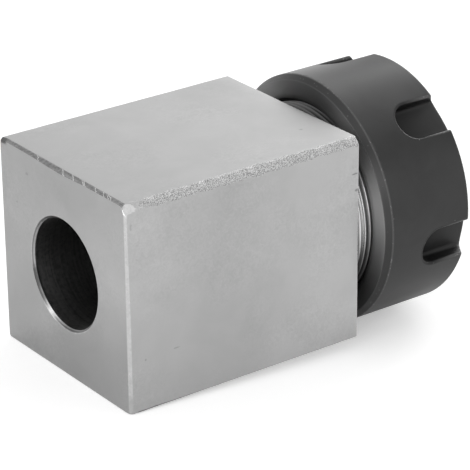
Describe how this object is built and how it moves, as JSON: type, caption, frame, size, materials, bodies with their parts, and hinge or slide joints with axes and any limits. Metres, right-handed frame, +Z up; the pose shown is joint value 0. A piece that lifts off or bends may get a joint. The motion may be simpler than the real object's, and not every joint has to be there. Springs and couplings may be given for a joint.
{
  "type": "square collet block",
  "caption": "Square steel block with a through bore, a threaded nose, a slotted clamping nut and a slit spring collet that grips round bar.",
  "frame": {"origin": "on the axis, in the plane of the square body's rear face, at the mouth of the through bore", "axes": "+X along the axis towards the nut, +Z up, square to the body's top face"},
  "size_m": [0.0989, 0.063, 0.063],
  "materials": {
    "ground_steel": "ground, satin, with a lightly worn edge",
    "black_oxide_steel": "satin black oxide over fine turning marks",
    "spring_steel": "hardened and ground, bright satin"
  },
  "bodies": {
    "block": {"square_body": "ground_steel"},
    "nut": {"clamping_nut": "black_oxide_steel"},
    "collet": {"spring_collet": "spring_steel"}
  },
  "joints": [
    {"name": "collet_draw", "type": "slide", "parent": "block", "child": "collet", "axis": [1, 0, 0], "range_m": [-0.00051, 0.01126]},
    {"name": "nut_turn", "type": "hinge", "parent": "collet", "child": "nut", "pos_m": [0.085, 0, 0], "axis": [1, 0, 0], "range_deg": [-120, 2700]}
  ],
  "couplings": [
    {"joint": "collet_draw", "follows": "nut_turn", "m_per_rad": 0.00023873}
  ]
}
